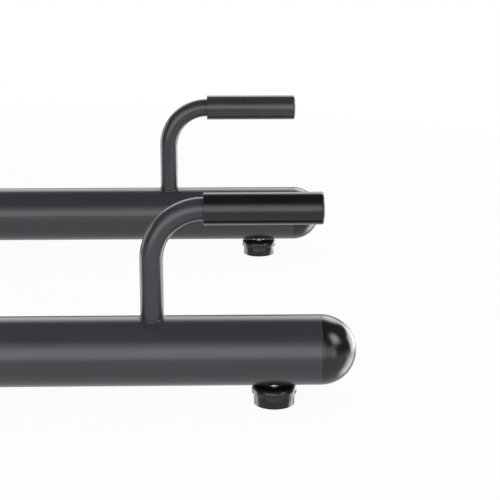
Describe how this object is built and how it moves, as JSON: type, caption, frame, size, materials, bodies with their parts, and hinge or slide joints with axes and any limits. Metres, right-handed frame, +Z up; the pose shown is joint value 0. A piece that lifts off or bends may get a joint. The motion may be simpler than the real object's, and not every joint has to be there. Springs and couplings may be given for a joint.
{
  "type": "pull-up dip station",
  "caption": "Free-standing tube-frame station for pull-ups, dips, knee raises and push-ups, on two parallel base rails with levelling feet.",
  "frame": {"origin": "on the floor, under the middle of the two base rails", "axes": "+X along the rails to the front, where the push-up handles are; +Y to the left; +Z up"},
  "size_m": [1.16, 1.1096, 2.1388],
  "materials": {
    "frame_paint": "semi-gloss slate grey powder coat",
    "cap_plastic": "glossy black moulded plastic",
    "grip_rubber": "smooth black rubber, slightly shiny",
    "grip_grey": "smooth slate grey rubber, slightly shiny",
    "foot_plastic": "glossy black moulded plastic",
    "foot_rubber": "matt black rubber",
    "zinc_steel": "bright zinc plate",
    "pad_vinyl": "black upholstery vinyl with a fine grain",
    "pad_board": "bare plywood"
  },
  "bodies": {
    "station_frame": {"arm_bolt_lower_left": "zinc_steel", "arm_bolt_lower_right": "zinc_steel", "arm_bolt_upper_left": "zinc_steel", "arm_bolt_upper_right": "zinc_steel", "arm_handle_left": "frame_paint", "arm_handle_right": "frame_paint", "arm_nut_lower_left": "zinc_steel", "arm_nut_lower_right": "zinc_steel", "arm_nut_upper_left": "zinc_steel", "arm_nut_upper_right": "zinc_steel", "back_board": "pad_board", "back_pad": "pad_vinyl", "back_pad_bolt_lower": "zinc_steel", "back_pad_bolt_upper": "zinc_steel", "base_cross_tube": "frame_paint", "base_rail_left": "frame_paint", "base_rail_right": "frame_paint", "crossmember_lower": "frame_paint", "crossmember_upper": "frame_paint", "dip_arm_left": "frame_paint", "dip_arm_right": "frame_paint", "dip_grip_left": "grip_rubber", "dip_grip_right": "grip_rubber", "forearm_board_left": "pad_board", "forearm_board_right": "pad_board", "forearm_bolt_front_left": "zinc_steel", "forearm_bolt_front_right": "zinc_steel", "forearm_bolt_rear_left": "zinc_steel", "forearm_bolt_rear_right": "zinc_steel", "forearm_pad_left": "pad_vinyl", "forearm_pad_right": "pad_vinyl", "knee_grip_left": "grip_rubber", "knee_grip_right": "grip_rubber", "pullup_bar": "frame_paint", "pullup_grip_left": "grip_rubber", "pullup_grip_right": "grip_rubber", "pushup_grip_left": "grip_grey", "pushup_grip_right": "grip_rubber", "pushup_handle_left": "frame_paint", "pushup_handle_right": "frame_paint", "rail_cap_front_left": "cap_plastic", "rail_cap_front_right": "cap_plastic", "rail_cap_rear_left": "cap_plastic", "rail_cap_rear_right": "cap_plastic", "upright_cap_left": "cap_plastic", "upright_cap_right": "cap_plastic", "upright_left": "frame_paint", "upright_right": "frame_paint"},
    "foot_base_front_left": {"foot_pad_front_left": "foot_rubber"},
    "foot_screw_front_left": {"foot_disc_front_left": "foot_plastic", "foot_stud_front_left": "zinc_steel"},
    "foot_base_front_right": {"foot_pad_front_right": "foot_rubber"},
    "foot_screw_front_right": {"foot_disc_front_right": "foot_plastic", "foot_stud_front_right": "zinc_steel"},
    "foot_base_rear_left": {"foot_pad_rear_left": "foot_rubber"},
    "foot_screw_rear_left": {"foot_disc_rear_left": "foot_plastic", "foot_stud_rear_left": "zinc_steel"},
    "foot_base_rear_right": {"foot_pad_rear_right": "foot_rubber"},
    "foot_screw_rear_right": {"foot_disc_rear_right": "foot_plastic", "foot_stud_rear_right": "zinc_steel"}
  },
  "joints": [
    {"name": "foot_height_front_left", "type": "slide", "parent": "station_frame", "child": "foot_base_front_left", "axis": [0, 0, -1], "range_m": [-0.0014, 0.01]},
    {"name": "foot_turn_front_left", "type": "hinge", "parent": "foot_base_front_left", "child": "foot_screw_front_left", "pos_m": [0.4918, 0.3, 0.015], "axis": [0, 0, -1], "range_deg": [-293, 2062]},
    {"name": "foot_height_front_right", "type": "slide", "parent": "station_frame", "child": "foot_base_front_right", "axis": [0, 0, -1], "range_m": [-0.0014, 0.01]},
    {"name": "foot_turn_front_right", "type": "hinge", "parent": "foot_base_front_right", "child": "foot_screw_front_right", "pos_m": [0.4918, -0.3, 0.015], "axis": [0, 0, -1], "range_deg": [-293, 2062]},
    {"name": "foot_height_rear_left", "type": "slide", "parent": "station_frame", "child": "foot_base_rear_left", "axis": [0, 0, -1], "range_m": [-0.0014, 0.01]},
    {"name": "foot_turn_rear_left", "type": "hinge", "parent": "foot_base_rear_left", "child": "foot_screw_rear_left", "pos_m": [-0.4918, 0.3, 0.015], "axis": [0, 0, -1], "range_deg": [-293, 2062]},
    {"name": "foot_height_rear_right", "type": "slide", "parent": "station_frame", "child": "foot_base_rear_right", "axis": [0, 0, -1], "range_m": [-0.0014, 0.01]},
    {"name": "foot_turn_rear_right", "type": "hinge", "parent": "foot_base_rear_right", "child": "foot_screw_rear_right", "pos_m": [-0.4918, -0.3, 0.015], "axis": [0, 0, -1], "range_deg": [-293, 2062]}
  ],
  "couplings": [
    {"joint": "foot_turn_front_left", "follows": "foot_height_front_left", "rad_per_m": 3590.4},
    {"joint": "foot_turn_front_right", "follows": "foot_height_front_right", "rad_per_m": 3590.4},
    {"joint": "foot_turn_rear_left", "follows": "foot_height_rear_left", "rad_per_m": 3590.4},
    {"joint": "foot_turn_rear_right", "follows": "foot_height_rear_right", "rad_per_m": 3590.4}
  ]
}
